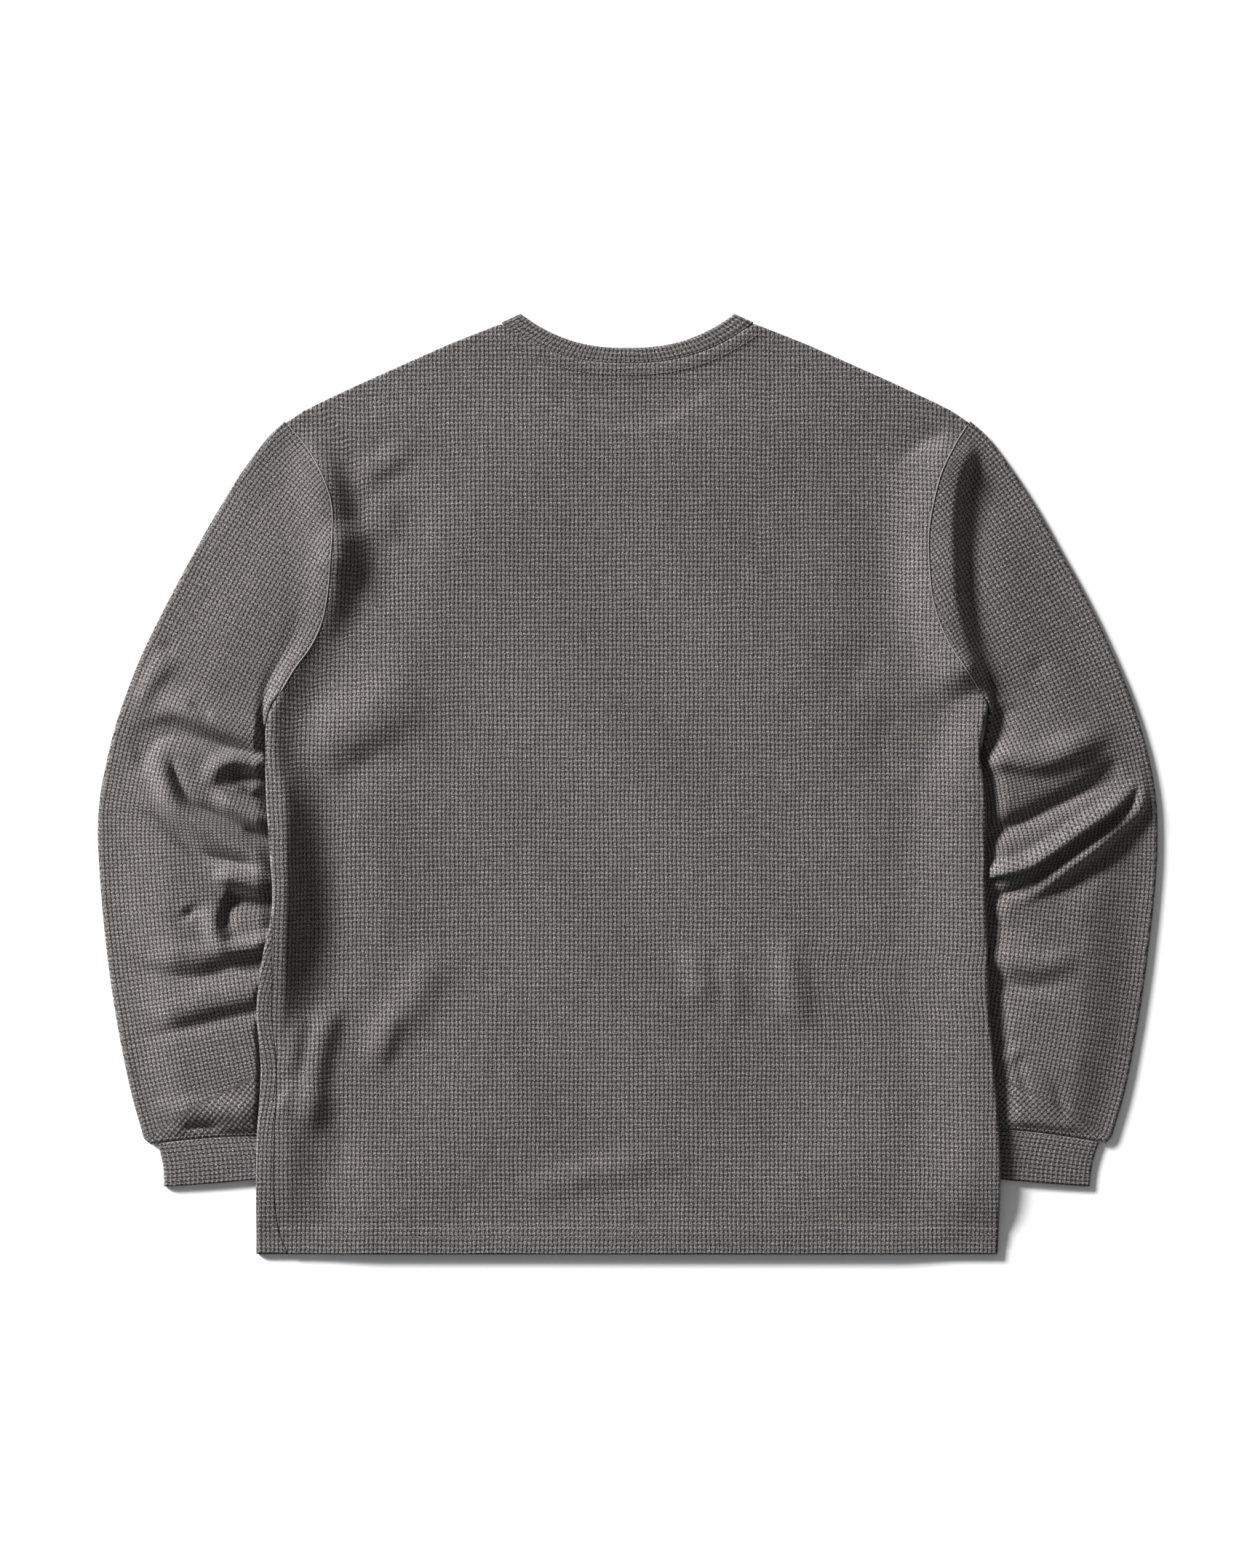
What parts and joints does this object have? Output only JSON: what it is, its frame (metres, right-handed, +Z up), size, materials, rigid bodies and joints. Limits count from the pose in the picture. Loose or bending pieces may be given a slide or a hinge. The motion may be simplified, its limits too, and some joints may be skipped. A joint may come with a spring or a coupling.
{
  "type": "thermal top",
  "caption": "Boxy long-sleeve crew-neck pullover in waffle knit, laid flat on its front, sleeves folded down and tucked under the sides.",
  "frame": {"origin": "middle of the bounding box at its bottom, which is the surface that the garment lies on", "axes": "+X across the garment to the wearer's right sleeve, +Y from hem to neck, +Z up from the surface, out of the back panel"},
  "size_m": [0.8137, 0.723, 0.0158],
  "materials": {
    "body": "matte waffle knit, heathered grey-brown",
    "sleeve": "matte waffle knit, heathered grey-brown",
    "cuff": "matte waffle knit, heathered grey-brown",
    "neckband": "matte waffle knit, heathered grey-brown"
  },
  "bodies": {
    "root": {"back_panel": "body", "front_panel": "body", "sleeve_left": "sleeve", "sleeve_right": "sleeve", "cuff_left": "cuff", "cuff_right": "cuff", "neckband": "neckband"}
  },
  "joints": []
}
